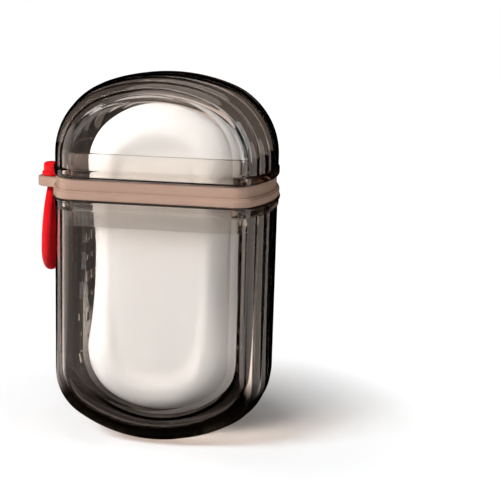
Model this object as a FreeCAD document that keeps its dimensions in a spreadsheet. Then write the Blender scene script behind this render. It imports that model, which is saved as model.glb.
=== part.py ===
import FreeCAD
import Part
import Sketcher
import math
import os

# Covered soap dish: a capsule-shaped case in two halves that stands on end.
# Millimetres, +Z up, +Y to the back. The origin is the middle of the foot.

doc = FreeCAD.newDocument("covered_soap_dish")

sizes = doc.addObject("Spreadsheet::Sheet", "sizes")
sizes.Label = "sizes"
sizeRows = [
    ("caseWidth", 73.2, "across the crests of the ribs"),
    ("caseHeight", 122, "from the foot to the top crest"),
    ("caseDepth", 54, "between the front and the back panel"),
    ("footCut", 1.2, "taken off the lowest crests so that the case stands"),
    ("sideInset", 10.9, "panel edge inside the widest section, at the sides"),
    ("topInset", 5.7, "panel edge inside the widest section, at the top"),
    ("bottomInset", 15.5, "panel edge inside the widest section, at the bottom"),
    ("bevelRound", 6, "radius of the case's plan next to the panels"),
    ("topArch", 27, "height of the top arch at mid depth"),
    ("topCrown", 2, "arch height beyond the shoulder radius, top at mid depth"),
    ("bottomArch", 24, "height of the bottom arch at mid depth"),
    ("bottomCrown", 5, "arch height beyond the corner radius, bottom at mid depth"),
    ("panelTopArch", 20.4, "height of the top arch at the panel"),
    ("panelTopCrown", 1.8, "arch height beyond the shoulder radius, top of the panel"),
    ("panelBottomArch", 17.2, "height of the bottom arch at the panel"),
    ("panelBottomCrown", 4.6, "arch height beyond the corner radius, bottom of the panel"),
    ("bevelDepth", 4, "from a panel to the nearest groove"),
    ("bevelCrown", 0.8, "rise of the bevelled ring's middle"),
    ("grooveDepth", 1.2, "from crest to groove"),
    ("wall", 2.4, "case wall under a crest"),
    ("panelWall", 2, "front and back panel"),
    ("cavityRound", 5, "plan radius inside, next to the panels"),
    ("cavityInset", 9.3, "inner panel edge inside the cavity's widest section"),
    ("lidHeight", 32.9, "the lid, from its rim to the top crest"),
    ("ringHeight", 6.7, "sealing ring between the two rims"),
    ("baseBand", 3.6, "smooth band under the base's rim"),
    ("lidBand", 3, "smooth band above the lid's rim"),
    ("bandProud", 0.4, "bands beyond the crests"),
    ("lipHeight", 1.2, "lip on top of the base's band"),
    ("lipProud", 0.8, "lip beyond the crests"),
    ("collarRise", 1.2, "top of the collar above the spring of the panel's arch"),
    ("collarDrop", 8.7, "collar into the base"),
    ("collarWall", 1.6, "wall of the collar"),
    ("collarGap", 0.6, "collar to the case, all round"),
    ("ringGap", 0.05, "sealing ring to the collar"),
    ("seatGap", 0.05, "sealing ring to each rim"),
    ("ringBand", 3.3, "height of the ring's lower band and of the lug"),
    ("ringBandProud", 0.5, "lower band beyond the crests"),
    ("ringBeadHeight", 0.7, "bead on top of the lower band"),
    ("ringBeadProud", 0.1, "bead beyond the crests"),
    ("ringRecess", 0.5, "upper band inside the crests"),
    ("lugReach", 3.4, "peg axis beyond the crests"),
    ("lugRound", 4.5, "radius of the lug's end"),
    ("lugRoot", 7, "half width of the lug where it leaves the ring"),
    ("pegBore", 2.1, "bore of the lug"),
    ("pegGap", 0.05, "peg to the bore, on the radius"),
    ("headRadius", 2.75, "tag head"),
    ("headHeight", 3.1, "tag head above its collar"),
    ("headBevel", 1.1, "bevelled top of the head"),
    ("flangeRadius", 3.25, "collar under the head"),
    ("flangeHeight", 1.5, "collar under the head"),
    ("flangeGap", 0.05, "collar and shoulder to the lug's faces"),
    ("tagWidth", 17, "disc of the tag"),
    ("tagThick", 3, "disc of the tag"),
    ("tagEdge", 1, "rounded edge of the disc"),
    ("tagDrop", 29.2, "lowest point of the disc below the lug"),
    ("neckWidth", 2.6, "top of the disc, under the lug"),
    ("cageFront", 12.5, "lower front edge of the cage, before mid depth"),
    ("cageStep", 4, "front edge further back near the collar"),
    ("cageStepDrop", 9.7, "upper end of the step, below the collar"),
    ("cageStepRun", 20, "height of the step"),
    ("cageBack", 12.8, "outer back face, behind mid depth"),
    ("cageWall", 1.5, "wall of the cage"),
    ("cageRound", 7, "outer corner between the cage's side and back"),
    ("slotSide", 3, "large drain slot"),
    ("slotSmall", 1.4, "small drain slot between two large ones"),
    ("slotDrop", 7.2, "centre of the highest large slots, below the collar"),
    ("slotRow", 6, "side slots across the depth"),
    ("slotColumn", 7.2, "back slots across the width"),
    ("slotLow", 25.4, "centre of the lowest large slots"),
    ("slotCount", 4, "large slots in a row"),
    ("soapWidth", 50.4, "soap bar"),
    ("soapHeadroom", 9.4, "top crest to the top of the bar"),
    ("soapThick", 28, "soap bar"),
    ("soapForward", 3, "middle of the bar before mid depth"),
    ("soapLevel", 8.4, "lowest point of the bar above the foot"),
    ("soapWaist", 2.2, "waist on each side of the bar"),
    ("soapArch", 21, "height of the bar's arches"),
    ("soapCrown", 2, "arch height beyond the bar's corner radius"),
    ("soapEdge", 10, "rounded edge of the bar"),
    ("soapGap", 0.3, "bar to the cage"),
    ("dishDepth", 0.9, "oval dish in the bar's front face"),
    ("dishWidth", 28, "oval dish in the bar's front face"),
    ("dishHeight", 76, "oval dish in the bar's front face"),
    ("dishBall", 10, "depth radius of the ellipsoid that makes the dish"),
]
for row, (alias, number, note) in enumerate(sizeRows, 1):
    sizes.set(f"A{row}", alias)
    sizes.set(f"B{row}", str(number))
    sizes.set(f"C{row}", note)
    sizes.setAlias(f"B{row}", alias)
doc.recompute()


class Size:
    """A length that knows its number and its expression in the sheet."""

    def __init__(self, number, text):
        self.number = float(number)
        self.text = text

    def __add__(self, other):
        other = asSize(other)
        return Size(self.number + other.number, f"({self.text} + {other.text})")

    def __radd__(self, other):
        return asSize(other) + self

    def __sub__(self, other):
        other = asSize(other)
        return Size(self.number - other.number, f"({self.text} - {other.text})")

    def __rsub__(self, other):
        return asSize(other) - self

    def __mul__(self, other):
        other = asSize(other)
        return Size(self.number * other.number, f"({self.text} * {other.text})")

    def __rmul__(self, other):
        return asSize(other) * self

    def __truediv__(self, other):
        other = asSize(other)
        return Size(self.number / other.number, f"({self.text} / {other.text})")

    def __neg__(self):
        return Size(-self.number, f"(-{self.text})")

    def root(self):
        return Size(math.sqrt(self.number), f"sqrt({self.text})")


def asSize(value):
    return value if isinstance(value, Size) else Size(value, repr(float(value)))


def size(alias):
    return Size(sizes.get(alias), f"sizes.{alias}")


def bind(item, prop, value):
    """Ties one property to the sheet, and sets its number at once."""
    value = asSize(value)
    item.setExpression(prop, value.text)


def planeOf(body, role):
    return [item for item in body.Origin.OriginFeatures if item.Role == role][0]


def newBody(name):
    body = doc.addObject("PartDesign::Body", name)
    body.Label = name
    return body


def newSketch(body, name, role, offset=None, turn=0):
    """A sketch on an origin plane, moved along the plane's normal and turned in it."""
    sketch = body.newObject("Sketcher::SketchObject", name)
    sketch.AttachmentSupport = (planeOf(body, role), [""])
    sketch.MapMode = "FlatFace"
    turned = FreeCAD.Rotation(FreeCAD.Vector(0, 0, 1), turn)
    distance = asSize(0 if offset is None else offset)
    sketch.AttachmentOffset = FreeCAD.Placement(FreeCAD.Vector(0, 0, distance.number), turned)
    if offset is not None:
        bind(sketch, "AttachmentOffset.Base.z", distance)
    return sketch


def constrain(sketch, kind, *places, value=None):
    """Adds one constraint; a value is bound to the sheet."""
    if value is None:
        sketch.addConstraint(Sketcher.Constraint(kind, *places))
        return
    value = asSize(value)
    index = sketch.addConstraint(Sketcher.Constraint(kind, *places, value.number))
    bind(sketch, f"Constraints[{index}]", value)


vec = FreeCAD.Vector
upward = vec(0, 0, 1)
_, startEnd, farEnd, middle = range(4)
originLine, upAxis = range(-1, -3, -1)
axisPoint = startEnd


def arc(centre, radius, begin, end):
    return Part.ArcOfCircle(Part.Circle(vec(*centre, 0), upward, radius), begin, end)


def archRadius(half, height, corner):
    """Radius of the crown of an arch with a given half width, height and corner radius."""
    return (half * half + height * height - 2 * half * corner) / (2 * (height - corner))


class Outline:
    """Straight sides with an arch of two corner arcs and a crown at each end."""

    def __init__(self, half, top, bottom, topArch, bottomArch, topRound, bottomRound):
        self.half = asSize(half)
        self.top = asSize(top)
        self.bottom = asSize(bottom)
        self.topArch = asSize(topArch)
        self.bottomArch = asSize(bottomArch)
        self.topRound = asSize(topRound)
        self.bottomRound = asSize(bottomRound)

    def shrunk(self, inset):
        """The parallel outline, further in by inset."""
        return Outline(self.half - inset, self.top - inset, self.bottom + inset,
                       self.topArch - inset, self.bottomArch - inset,
                       self.topRound - inset, self.bottomRound - inset)


def drawOutline(sketch, outline):
    """Draws an outline and constrains it fully: arcs meet tangentially all round."""
    half, top, bottom = outline.half, outline.top, outline.bottom
    topCrown = archRadius(half, outline.topArch, outline.topRound)
    bottomCrown = archRadius(half, outline.bottomArch, outline.bottomRound)
    shoulder, foot = top - outline.topArch, bottom + outline.bottomArch

    def spread(crown, round_, arch):
        across = half.number - round_.number
        along = crown.number - arch.number
        return math.atan2(along, across)

    a = half.number
    topAngle = spread(topCrown, outline.topRound, outline.topArch)
    bottomAngle = spread(bottomCrown, outline.bottomRound, outline.bottomArch)
    topX, bottomX = a - outline.topRound.number, a - outline.bottomRound.number
    topCentre, bottomCentre = (top - topCrown).number, (bottom + bottomCrown).number
    pieces = [
        Part.LineSegment(vec(a, foot.number, 0), vec(a, shoulder.number, 0)),
        arc((topX, shoulder.number), outline.topRound.number, 0, topAngle),
        arc((0, topCentre), topCrown.number, topAngle, math.pi - topAngle),
        arc((-topX, shoulder.number), outline.topRound.number, math.pi - topAngle, math.pi),
        Part.LineSegment(vec(-a, shoulder.number, 0), vec(-a, foot.number, 0)),
        arc((-bottomX, foot.number), outline.bottomRound.number, math.pi, math.pi + bottomAngle),
        arc((0, bottomCentre), bottomCrown.number, math.pi + bottomAngle, -bottomAngle),
        arc((bottomX, foot.number), outline.bottomRound.number, -bottomAngle, 0),
    ]
    first = sketch.addGeometry(pieces, False)[0]
    right, rightTop, crown, leftTop, left, leftBottom, base, rightBottom = range(first, first + 8)
    ring = [right, rightTop, crown, leftTop, left, leftBottom, base, rightBottom]
    for here, there in zip(ring, ring[1:] + ring[:1]):
        constrain(sketch, "Tangent", here, farEnd, there, startEnd)
    constrain(sketch, "Vertical", right)
    constrain(sketch, "Vertical", left)
    constrain(sketch, "PointOnObject", crown, middle, upAxis)
    constrain(sketch, "PointOnObject", base, middle, upAxis)
    constrain(sketch, "DistanceX", originLine, axisPoint, right, startEnd, value=half)
    constrain(sketch, "DistanceX", left, startEnd, originLine, axisPoint, value=half)
    for item, radius in ((rightTop, outline.topRound), (leftTop, outline.topRound),
                         (rightBottom, outline.bottomRound), (leftBottom, outline.bottomRound),
                         (crown, topCrown), (base, bottomCrown)):
        constrain(sketch, "Radius", item, value=radius)
    constrain(sketch, "DistanceY", originLine, axisPoint, rightTop, middle, value=shoulder)
    constrain(sketch, "DistanceY", originLine, axisPoint, rightBottom, middle, value=foot)


def loft(body, name, sections, ruled=False):
    feature = body.newObject("PartDesign::AdditiveLoft", name)
    feature.Profile = sections[0]
    feature.Sections = sections[1:]
    feature.Ruled = ruled
    body.Tip = feature
    return feature


def pad(body, name, sketch, length, reversed_=False, midplane=False):
    feature = body.newObject("PartDesign::Pad", name)
    feature.Profile = sketch
    bind(feature, "Length", length)
    feature.Reversed = reversed_
    feature.Midplane = midplane
    body.Tip = feature
    return feature


# Case

halfWidth = size("caseWidth") / 2
halfDepth = size("caseDepth") / 2
caseTop = size("caseHeight")
caseBottom = -size("footCut")
topRound = size("topArch") - size("topCrown")
bottomRound = size("bottomArch") - size("bottomCrown")
panelTopRound = size("panelTopArch") - size("panelTopCrown")
panelBottomRound = size("panelBottomArch") - size("panelBottomCrown")


def blended(middleValue, panelValue, share):
    return middleValue + (panelValue - middleValue) * share


def caseOutline(inset, share):
    """The case's outline where its sides lie inset from the widest section.
    share runs from 0 at mid depth to 1 at a panel, and shapes the two arches.
    The bottom rises slowly at first, so that several ribs meet the surface."""
    return Outline(halfWidth - inset,
                   caseTop - size("topInset") * share,
                   caseBottom + size("bottomInset") * share * asSize(share).root(),
                   blended(size("topArch"), size("panelTopArch"), share),
                   blended(size("bottomArch"), size("panelBottomArch"), share),
                   blended(topRound, panelTopRound, share),
                   blended(bottomRound, panelBottomRound, share))


sideCurve = archRadius(halfDepth, size("sideInset"), size("bevelRound"))


def insetOnSide(station):
    """How far the plan curves in at a depth station on the long side arc."""
    return sideCurve - (sideCurve * sideCurve - station * station).root()


def outlineAt(station):
    inset = insetOnSide(station)
    return caseOutline(inset, inset / size("sideInset"))


ribCount = 7
grooveReach = halfDepth - size("bevelDepth")
ribPitch = 2 * grooveReach / ribCount


def ribbedForm():
    """The whole outside of the case: rounded ribs between two bevelled rings."""
    body = newBody("ribbed_form")

    def section(name, station, outline):
        sketch = newSketch(body, name, "XZ_Plane", -asSize(station))
        drawOutline(sketch, outline)
        return sketch

    def grooveAt(index):
        station = ribPitch * index - grooveReach
        return section(f"groove_{index}", station, outlineAt(station).shrunk(size("grooveDepth")))

    def bevelAt(name, side):
        """Half way between a panel and its nearest groove, crowned a little."""
        grooveInset = insetOnSide(grooveReach) + size("grooveDepth")
        inset = (size("sideInset") + grooveInset) / 2 - size("bevelCrown")
        reach = halfDepth - size("bevelDepth") / 2
        return section(name, reach * side, caseOutline(inset, inset / size("sideInset")))

    grooves = [grooveAt(index) for index in range(ribCount + 1)]
    front = section("front_panel", -halfDepth, caseOutline(size("sideInset"), asSize(1)))
    back = section("back_panel", halfDepth, caseOutline(size("sideInset"), asSize(1)))
    loft(body, "front_bevel", [front, bevelAt("front_round", -1), grooves[0]])
    for index in range(ribCount):
        station = ribPitch * (index + 0.5) - grooveReach
        crest = section(f"crest_{index}", station, outlineAt(station))
        loft(body, f"rib_{index}", [grooves[index], crest, grooves[index + 1]])
    loft(body, "back_bevel", [grooves[ribCount], bevelAt("back_round", 1), back])
    return body


# Where the cavity's sections stand: on the corner arc, and along the side arc.
cornerSlopes = (1, 0.8, 0.4)
sideShares = (0.85, 0.6, 0.3)


def smoothForm(name, wall, panelWall, inset, round_):
    """A smooth capsule inside the case, on the same plan of two corner arcs and a side arc."""
    body = newBody(name)
    reach = halfDepth - panelWall
    curve = archRadius(reach, inset, round_)
    turn = reach - round_
    sections = []
    for index, slope in enumerate(cornerSlopes):
        station = turn + round_ * slope
        sideways = inset - round_ * math.sqrt(1 - slope * slope)
        sections.append((f"corner_{index}", station, sideways))
    for index, share in enumerate(sideShares):
        station = turn * share
        sections.append((f"side_{index}", station, curve - (curve * curve - station * station).root()))
    stations = [(name_ + "_front", -station, sideways) for name_, station, sideways in sections]
    stations.append(("middle", asSize(0), asSize(0)))
    stations += [(name_ + "_back", station, sideways) for name_, station, sideways in sections[::-1]]
    sketches = []
    for name_, station, sideways in stations:
        sketch = newSketch(body, f"{name}_{name_}", "XZ_Plane", -station)
        share = sideways / inset
        outline = caseOutline(sideways * 0, share)
        outline.half = halfWidth - sideways
        drawOutline(sketch, outline.shrunk(wall))
        sketches.append(sketch)
    loft(body, f"{name}_loft", sketches)
    return body


def slab(name, low, high):
    """A slice of space between two heights, wider than the case."""
    box = doc.addObject("Part::Box", name)
    bind(box, "Length", size("caseWidth") * 2)
    bind(box, "Width", size("caseDepth") * 2)
    bind(box, "Height", high - low)
    bind(box, "Placement.Base.x", -size("caseWidth"))
    bind(box, "Placement.Base.y", -size("caseDepth"))
    bind(box, "Placement.Base.z", low)
    return box


def common(name, base, tool):
    feature = doc.addObject("Part::Common", name)
    feature.Base = base
    feature.Tool = tool
    return feature


def cut(name, base, tool):
    feature = doc.addObject("Part::Cut", name)
    feature.Base = base
    feature.Tool = tool
    feature.Label = name
    return feature


def fuse(name, *shapes):
    feature = doc.addObject("Part::MultiFuse", name)
    feature.Shapes = list(shapes)
    return feature


def planOutline(proud):
    """The case's plan, turned so that the long sides are front and back."""
    out = halfWidth + proud
    return Outline(halfDepth + proud, out, -out, size("sideInset") + proud, size("sideInset") + proud,
                   size("bevelRound") + proud, size("bevelRound") + proud)


def cavityPlan(inward):
    """The cavity's plan, further in by inward."""
    out = halfWidth - size("wall") - inward
    return Outline(halfDepth - size("panelWall") - inward, out, -out,
                   size("cavityInset") - inward, size("cavityInset") - inward,
                   size("cavityRound") - inward, size("cavityRound") - inward)


def planPad(body, name, outline, low, height):
    sketch = newSketch(body, name + "_plan", "XY_Plane", low, turn=90)
    drawOutline(sketch, outline)
    return pad(body, name, sketch, height)


def planRing(body, name, outer, inner, low, height):
    sketch = newSketch(body, name + "_plan", "XY_Plane", low, turn=90)
    drawOutline(sketch, outer)
    drawOutline(sketch, inner)
    return pad(body, name, sketch, height)


outside = ribbedForm()
cavity = smoothForm("cavity_form", size("wall"), size("panelWall"), size("cavityInset"), size("cavityRound"))

lidEdge = caseTop - size("lidHeight")
baseEdge = lidEdge - size("ringHeight")

baseRim = newBody("base_rim")
planPad(baseRim, "base_band", planOutline(size("bandProud")), baseEdge - size("baseBand"), size("baseBand"))
planPad(baseRim, "base_lip", planOutline(size("lipProud")), baseEdge - size("lipHeight"), size("lipHeight"))
baseBlock = common("base_block", outside, slab("base_slab", asSize(0), baseEdge))
baseShell = cut("base_shell", fuse("base_solid", baseBlock, baseRim), cavity)

lidRim = newBody("lid_rim")
planPad(lidRim, "lid_band", planOutline(size("bandProud")), lidEdge, size("lidBand"))
lidBlock = common("lid_block", outside, slab("lid_slab", lidEdge, size("caseHeight") * 2))
lidShell = cut("lid_shell", fuse("lid_solid", lidBlock, lidRim), cavity)

# Sealing ring, one moulding with its lug

collarLow = baseEdge - size("collarDrop")
collarHigh = caseTop - size("topInset") - size("panelTopArch") + size("collarRise")
collarPlan = cavityPlan(size("collarGap"))
ringBore = cavityPlan(size("collarGap") - size("ringGap"))
ringLow = baseEdge + size("seatGap")
bandTop = baseEdge + size("ringBand")
pegX = halfWidth + size("lugReach")

sealingRing = newBody("sealing_ring")
bandPlan = planOutline(size("ringBandProud"))
planPad(sealingRing, "ring_band", bandPlan, ringLow, bandTop - ringLow)
lugSketch = newSketch(sealingRing, "lug_plan", "XY_Plane", ringLow)
rootX, rootY, tip = halfWidth - size("wall"), size("lugRoot"), size("lugRound")
lugRun, lugSpread = (pegX - rootX).number, (rootY - tip).number
tipAngle = math.pi / 2 + math.atan2(lugSpread, lugRun)
lugPieces = [
    Part.LineSegment(vec(-rootX.number, -rootY.number, 0), vec(-rootX.number, rootY.number, 0)),
    Part.LineSegment(vec(-rootX.number, rootY.number, 0), vec(-pegX.number, tip.number, 0)),
    arc((-pegX.number, 0), tip.number, tipAngle, -tipAngle),
    Part.LineSegment(vec(-pegX.number, -tip.number, 0), vec(-rootX.number, -rootY.number, 0)),
]
lugSketch.addGeometry(lugPieces, False)
constrain(lugSketch, "Coincident", 0, farEnd, 1, startEnd)
constrain(lugSketch, "Tangent", 1, farEnd, 2, startEnd)
constrain(lugSketch, "Tangent", 2, farEnd, 3, startEnd)
constrain(lugSketch, "Coincident", 3, farEnd, 0, startEnd)
constrain(lugSketch, "PointOnObject", 2, middle, originLine)
constrain(lugSketch, "DistanceX", 2, middle, originLine, axisPoint, value=pegX)
constrain(lugSketch, "Radius", 2, value=tip)
constrain(lugSketch, "DistanceX", 0, startEnd, originLine, axisPoint, value=rootX)
constrain(lugSketch, "DistanceX", 0, farEnd, originLine, axisPoint, value=rootX)
constrain(lugSketch, "DistanceY", 0, startEnd, originLine, axisPoint, value=rootY)
constrain(lugSketch, "DistanceY", originLine, axisPoint, 0, farEnd, value=rootY)
pad(sealingRing, "lug", lugSketch, bandTop - ringLow)
planPad(sealingRing, "ring_bead", planOutline(size("ringBeadProud")), bandTop, size("ringBeadHeight"))
ringUpper = bandTop + size("ringBeadHeight")
planPad(sealingRing, "ring_upper", planOutline(-size("ringRecess")), ringUpper,
        lidEdge - size("seatGap") - ringUpper)


def pocket(body, name, sketch, length, reversed_=False, midplane=False):
    feature = body.newObject("PartDesign::Pocket", name)
    feature.Profile = sketch
    bind(feature, "Length", length)
    feature.Reversed = reversed_
    feature.Midplane = midplane
    body.Tip = feature
    return feature


def circleAt(sketch, x, radius):
    circle = Part.Circle(vec(asSize(x).number, 0, 0), upward, asSize(radius).number)
    index = sketch.addGeometry(circle, False)
    constrain(sketch, "PointOnObject", index, middle, originLine)
    constrain(sketch, "DistanceX", index, middle, originLine, axisPoint, value=-asSize(x))
    constrain(sketch, "Radius", index, value=radius)


boreSketch = newSketch(sealingRing, "ring_bore_plan", "XY_Plane", baseEdge, turn=90)
drawOutline(boreSketch, ringBore)
pocket(sealingRing, "ring_bore", boreSketch, size("ringHeight"), reversed_=True)
pegSketch = newSketch(sealingRing, "peg_bore_plan", "XY_Plane", baseEdge)
circleAt(pegSketch, -pegX, size("pegBore") / 2)
pocket(sealingRing, "peg_bore", pegSketch, size("ringHeight"), reversed_=True)

# Pull tag: head, collar and stem turned about the peg axis, with a leaf-shaped disc below

pullTag = newBody("pull_tag")
stemRadius = size("pegBore") / 2 - size("pegGap")
flangeLow = bandTop + size("flangeGap")
headLow = flangeLow + size("flangeHeight")
headTop = headLow + size("headHeight")
tagTop = ringLow - size("flangeGap")
tagSink = size("tagThick") / 2
leaf = newSketch(pullTag, "leaf_outline", "YZ_Plane", -pegX)
leafRadius = size("tagWidth") / 2
leafLow = ringLow - size("tagDrop")
leafMiddle = leafLow + leafRadius
neckHalf = size("neckWidth") / 2
leafHigh = tagTop
rise = leafHigh - leafMiddle
sideways = leafRadius - neckHalf
leafCurve = (sideways * sideways + rise * rise) / (2 * sideways)
leafAngle = math.asin(rise.number / leafCurve.number)
sideCentre = leafCurve.number - leafRadius.number
leaf.addGeometry([
    arc((0, leafMiddle.number), leafRadius.number, math.pi, 0),
    arc((-sideCentre, leafMiddle.number), leafCurve.number, 0, leafAngle),
    Part.LineSegment(vec(neckHalf.number, leafHigh.number, 0), vec(-neckHalf.number, leafHigh.number, 0)),
    arc((sideCentre, leafMiddle.number), leafCurve.number, math.pi - leafAngle, math.pi),
], False)
constrain(leaf, "Tangent", 0, farEnd, 1, startEnd)
constrain(leaf, "Coincident", 1, farEnd, 2, startEnd)
constrain(leaf, "Coincident", 2, farEnd, 3, startEnd)
constrain(leaf, "Tangent", 3, farEnd, 0, startEnd)
constrain(leaf, "Horizontal", 2)
constrain(leaf, "PointOnObject", 0, middle, upAxis)
constrain(leaf, "DistanceY", originLine, axisPoint, 0, middle, value=leafMiddle)
constrain(leaf, "Radius", 0, value=leafRadius)
constrain(leaf, "DistanceX", 2, farEnd, originLine, axisPoint, value=neckHalf)
constrain(leaf, "DistanceX", originLine, axisPoint, 2, startEnd, value=neckHalf)
constrain(leaf, "DistanceY", originLine, axisPoint, 2, startEnd, value=leafHigh)
leafPad = pad(pullTag, "leaf", leaf, size("tagThick"), midplane=True)
doc.recompute()


def flatFaceEdges(feature, axis, positions, tolerance=0.01):
    """Names of the edges that lie in the planes where axis has one of the positions."""
    names = []
    for number, edge in enumerate(feature.Shape.Edges, 1):
        box = edge.BoundBox
        low, high = (box.XMin, box.XMax) if axis == "x" else (box.YMin, box.YMax)
        if any(abs(low - place) < tolerance and abs(high - place) < tolerance for place in positions):
            names.append(f"Edge{number}")
    return names


def fillet(body, name, base, edges, radius):
    feature = body.newObject("PartDesign::Fillet", name)
    feature.Base = (base, edges)
    bind(feature, "Radius", radius)
    body.Tip = feature
    return feature


leafFaces = [-(pegX + size("tagThick") / 2).number, -(pegX - size("tagThick") / 2).number]
leafRims = [name for name in flatFaceEdges(leafPad, "x", leafFaces)
            if leafPad.Shape.getElement(name).Length > size("tagWidth").number]
fillet(pullTag, "leaf_edge", leafPad, leafRims, size("tagEdge"))


def drawPolygon(sketch, points, shift=None):
    """A closed chain of lines with each corner bound to the sheet."""
    moved = [(x - (shift or 0), y) for x, y in points]
    corners = [vec(x.number, y.number, 0) for x, y in moved]
    for here, there in zip(corners, corners[1:] + corners[:1]):
        sketch.addGeometry(Part.LineSegment(here, there), False)
    count = len(moved)
    for index in range(count):
        constrain(sketch, "Coincident", index, farEnd, (index + 1) % count, startEnd)
    for index, (x, y) in enumerate(moved):
        constrain(sketch, "DistanceX", originLine, axisPoint, index, startEnd, value=x)
        constrain(sketch, "DistanceY", originLine, axisPoint, index, startEnd, value=y)


profile = newSketch(pullTag, "peg_profile", "XZ_Plane")
profilePoints = [
    (asSize(0), tagTop - tagSink),
    (stemRadius, tagTop - tagSink),
    (stemRadius, flangeLow),
    (size("flangeRadius"), flangeLow),
    (size("flangeRadius"), headLow),
    (size("headRadius"), headLow),
    (size("headRadius"), headTop - size("headBevel")),
    (size("headRadius") - size("headBevel"), headTop),
    (asSize(0), headTop),
]
drawPolygon(profile, profilePoints, pegX)
spin = pullTag.newObject("PartDesign::Revolution", "peg")
axisSketch = newSketch(pullTag, "peg_axis", "XZ_Plane")
axisEnds = vec(-pegX.number, 0, 0), vec(-pegX.number, headTop.number, 0)
axisSketch.addGeometry(Part.LineSegment(*axisEnds), False)
constrain(axisSketch, "Vertical", 0)
constrain(axisSketch, "DistanceX", 0, startEnd, originLine, axisPoint, value=pegX)
constrain(axisSketch, "DistanceY", originLine, axisPoint, 0, farEnd, value=headTop)
constrain(axisSketch, "PointOnObject", 0, startEnd, originLine)
spin.Profile = profile
spin.ReferenceAxis = (axisSketch, ["Edge1"])
spin.Angle = 360
pullTag.Tip = spin
doc.recompute()

# Drain tray: collar, ledge and slotted cage

collar = newBody("collar_form")
planRing(collar, "collar", collarPlan, cavityPlan(size("collarGap") + size("collarWall")),
         collarLow, collarHigh - collarLow)

soapMiddle = -size("soapForward")
soapHalf = size("soapWidth") / 2
cageInner = soapHalf + size("soapGap")
cageOuter = cageInner + size("cageWall")
soapRound = size("soapArch") - size("soapCrown")
soapLow = size("soapLevel")
cageLow = soapLow - size("soapGap") - size("cageWall")


# Where the sections stand on the arc that leads into the cage's back.
backSlopes = (0.5, 0.85, 1)


def troughForm(name, inward):
    """A trough round the bar: full width at the front, rounded in towards the back."""
    body = newBody(name)
    back = size("cageBack") - inward
    round_ = size("cageRound") - inward
    half = cageOuter - inward
    aroundBar = size("soapGap") + size("cageWall") - inward
    whole = Outline(half, collarHigh, cageLow + inward,
                    size("soapArch") + aroundBar, size("soapArch") + aroundBar,
                    soapRound + aroundBar, soapRound + aroundBar)
    sketches = []
    stations = [("front", -halfDepth, asSize(0)), ("turn", back - round_, asSize(0))]
    for index, slope in enumerate(backSlopes):
        inset = round_ * (1 - math.sqrt(1 - slope * slope))
        stations.append((f"round_{index}", back - round_ * (1 - slope), inset))
    for name_, station, inset in stations:
        sketch = newSketch(body, f"{name}_{name_}", "XZ_Plane", -station)
        drawOutline(sketch, whole.shrunk(inset))
        sketches.append(sketch)
    loft(body, f"{name}_straight", sketches[:2], ruled=True)
    loft(body, f"{name}_back", sketches[1:])
    return body


troughOuter = troughForm("trough_outer", asSize(0))
troughInner = troughForm("trough_inner", size("cageWall"))

ledge = newBody("ledge_form")
planPad(ledge, "ledge", collarPlan, collarLow, size("cageWall"))

# Everything of the cage and the ledge lies behind a front edge with an S-shaped step.
frontEdge = newBody("front_edge")
edgeSketch = newSketch(frontEdge, "front_edge_side", "YZ_Plane")
lowFront = -size("cageFront")
highFront = lowFront + size("cageStep")
stepHigh = collarLow - size("cageStepDrop")
stepLow = stepHigh - size("cageStepRun")
halfStep, halfRise = size("cageStep") / 2, size("cageStepRun") / 2
stepRadius = (halfStep * halfStep + halfRise * halfRise) / (2 * halfStep)
stepAngle = math.asin(halfRise.number / stepRadius.number)
edgeBottom, edgeTop, edgeBack = caseBottom, collarLow + size("cageWall"), halfDepth
edgeSketch.addGeometry([
    Part.LineSegment(vec(lowFront.number, edgeBottom.number, 0), vec(edgeBack.number, edgeBottom.number, 0)),
    Part.LineSegment(vec(edgeBack.number, edgeBottom.number, 0), vec(edgeBack.number, edgeTop.number, 0)),
    Part.LineSegment(vec(edgeBack.number, edgeTop.number, 0), vec(highFront.number, edgeTop.number, 0)),
    Part.LineSegment(vec(highFront.number, edgeTop.number, 0), vec(highFront.number, stepHigh.number, 0)),
    arc(((highFront - stepRadius).number, stepHigh.number), stepRadius.number, -stepAngle, 0),
    arc(((lowFront + stepRadius).number, stepLow.number), stepRadius.number, math.pi - stepAngle, math.pi),
    Part.LineSegment(vec(lowFront.number, stepLow.number, 0), vec(lowFront.number, edgeBottom.number, 0)),
], False)
bottomLine, backLine, topLine, upperLine, upperArc, lowerArc, lowerLine = range(7)
constrain(edgeSketch, "Coincident", bottomLine, farEnd, backLine, startEnd)
constrain(edgeSketch, "Coincident", backLine, farEnd, topLine, startEnd)
constrain(edgeSketch, "Coincident", topLine, farEnd, upperLine, startEnd)
constrain(edgeSketch, "Tangent", upperLine, farEnd, upperArc, farEnd)
constrain(edgeSketch, "Tangent", upperArc, startEnd, lowerArc, startEnd)
constrain(edgeSketch, "Tangent", lowerArc, farEnd, lowerLine, startEnd)
constrain(edgeSketch, "Coincident", lowerLine, farEnd, bottomLine, startEnd)
for line in (bottomLine, topLine):
    constrain(edgeSketch, "Horizontal", line)
for line in (backLine, upperLine, lowerLine):
    constrain(edgeSketch, "Vertical", line)
constrain(edgeSketch, "DistanceX", bottomLine, startEnd, originLine, axisPoint, value=size("cageFront"))
constrain(edgeSketch, "DistanceX", originLine, axisPoint, backLine, startEnd, value=edgeBack)
constrain(edgeSketch, "DistanceX", upperLine, startEnd, originLine, axisPoint, value=-highFront)
constrain(edgeSketch, "DistanceY", bottomLine, startEnd, originLine, axisPoint, value=-edgeBottom)
constrain(edgeSketch, "DistanceY", originLine, axisPoint, backLine, farEnd, value=edgeTop)
constrain(edgeSketch, "DistanceY", originLine, axisPoint, upperLine, farEnd, value=stepHigh)
constrain(edgeSketch, "DistanceY", originLine, axisPoint, lowerLine, startEnd, value=stepLow)
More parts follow.
